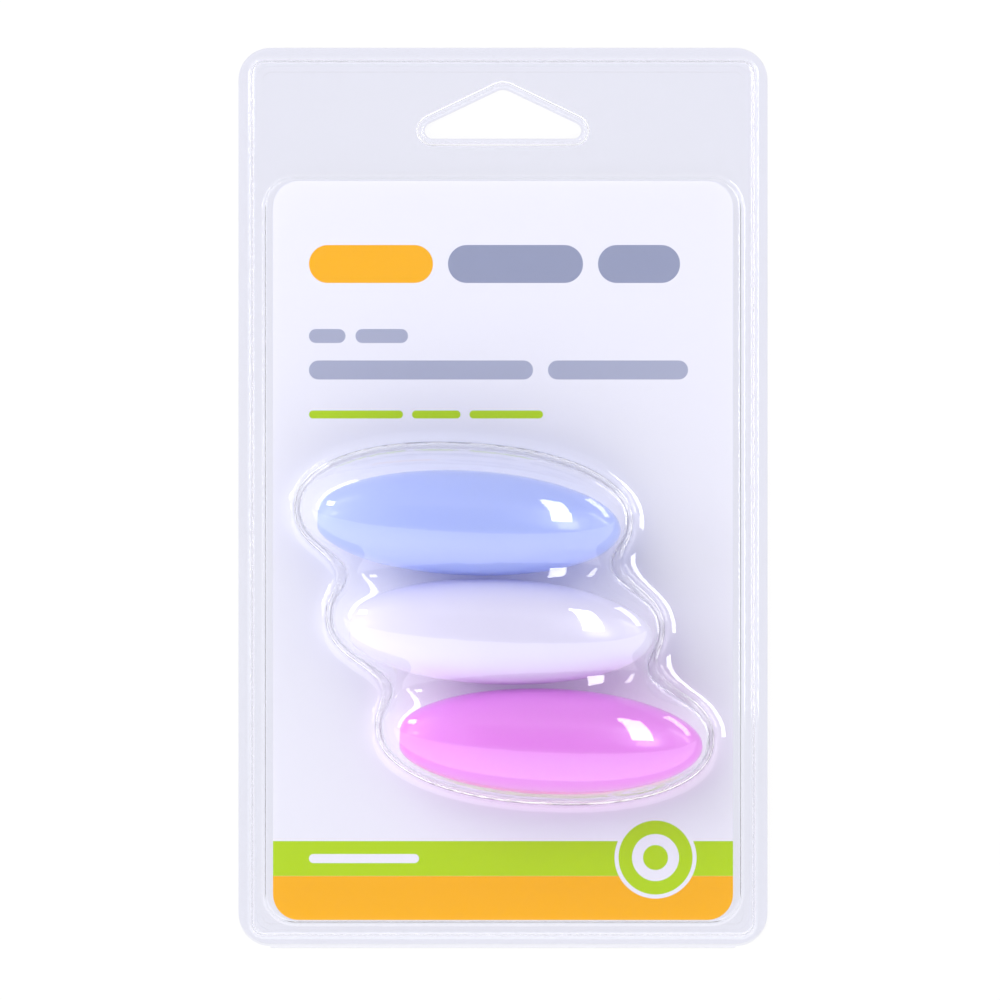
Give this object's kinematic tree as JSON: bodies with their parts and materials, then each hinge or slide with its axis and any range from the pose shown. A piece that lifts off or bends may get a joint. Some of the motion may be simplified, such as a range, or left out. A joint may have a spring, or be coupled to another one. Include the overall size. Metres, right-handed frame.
{
  "type": "toothbrush cover pack",
  "caption": "Torpedo-shaped hinged toothbrush covers in a clear folding hang pack with a printed card and a lobed bubble.",
  "frame": {"origin": "on the table, under the middle of the pack as it lies on its back", "axes": "+X to the right, +Y towards the hang hole, +Z out of the front"},
  "size_m": [0.106, 0.1804, 0.0265],
  "materials": {
    "clear_sheet": "clear glossy formed sheet",
    "printed_card": "smooth white printed card",
    "blue_plastic": "glossy translucent",
    "clear_plastic": "glossy translucent",
    "pink_plastic": "glossy translucent"
  },
  "bodies": {
    "back_half": {"back_shell": "clear_sheet"},
    "front_half": {"front_shell": "clear_sheet"},
    "card": {"insert_card": "printed_card"},
    "blue_cover": {"blue_cover_back": "blue_plastic", "blue_hinge_pin": "blue_plastic"},
    "blue_lid": {"blue_cover_front": "blue_plastic"},
    "clear_cover": {"clear_cover_back": "clear_plastic", "clear_hinge_pin": "clear_plastic"},
    "clear_lid": {"clear_cover_front": "clear_plastic"},
    "pink_cover": {"pink_cover_back": "pink_plastic", "pink_hinge_pin": "pink_plastic"},
    "pink_lid": {"pink_cover_front": "pink_plastic"}
  },
  "joints": [
    {"name": "pack_hinge", "type": "hinge", "parent": "back_half", "child": "front_half", "pos_m": [0, -0.0898, 0.0004], "axis": [1, 0, 0], "range_deg": [0, 140]},
    {"name": "card_lift", "type": "slide", "parent": "back_half", "child": "card", "axis": [0, 0, 1], "range_m": [0, 0.00519]},
    {"name": "blue_lift", "type": "slide", "parent": "back_half", "child": "blue_cover", "axis": [0, 0, 1], "range_m": [0, 0.01017]},
    {"name": "blue_lid_hinge", "type": "hinge", "parent": "blue_cover", "child": "blue_lid", "pos_m": [0.02102, -0.00633, 0.0131], "axis": [0.0488, 0.9988, 0], "range_deg": [0, 85]},
    {"name": "clear_lift", "type": "slide", "parent": "back_half", "child": "clear_cover", "axis": [0, 0, 1], "range_m": [0, 0.01017]},
    {"name": "clear_lid_hinge", "type": "hinge", "parent": "clear_cover", "child": "clear_lid", "pos_m": [0.02733, -0.02759, 0.0131], "axis": [0.0384, 0.9993, 0], "range_deg": [0, 71]},
    {"name": "pink_lift", "type": "slide", "parent": "back_half", "child": "pink_cover", "axis": [0, 0, 1], "range_m": [0, 0.01017]},
    {"name": "pink_lid_hinge", "type": "hinge", "parent": "pink_cover", "child": "pink_lid", "pos_m": [0.03723, -0.04918, 0.0131], "axis": [0.0349, 0.9994, 0], "range_deg": [0, 50]}
  ],
  "couplings": [
    {"joint": "card_lift", "follows": "pack_hinge", "m_per_rad": 0.002},
    {"joint": "blue_lift", "follows": "pack_hinge", "m_per_rad": 0.004},
    {"joint": "blue_lid_hinge", "follows": "pack_hinge", "ratio": 0.6},
    {"joint": "clear_lift", "follows": "pack_hinge", "m_per_rad": 0.004},
    {"joint": "clear_lid_hinge", "follows": "pack_hinge", "ratio": 0.5},
    {"joint": "pink_lift", "follows": "pack_hinge", "m_per_rad": 0.004},
    {"joint": "pink_lid_hinge", "follows": "pack_hinge", "ratio": 0.35}
  ]
}
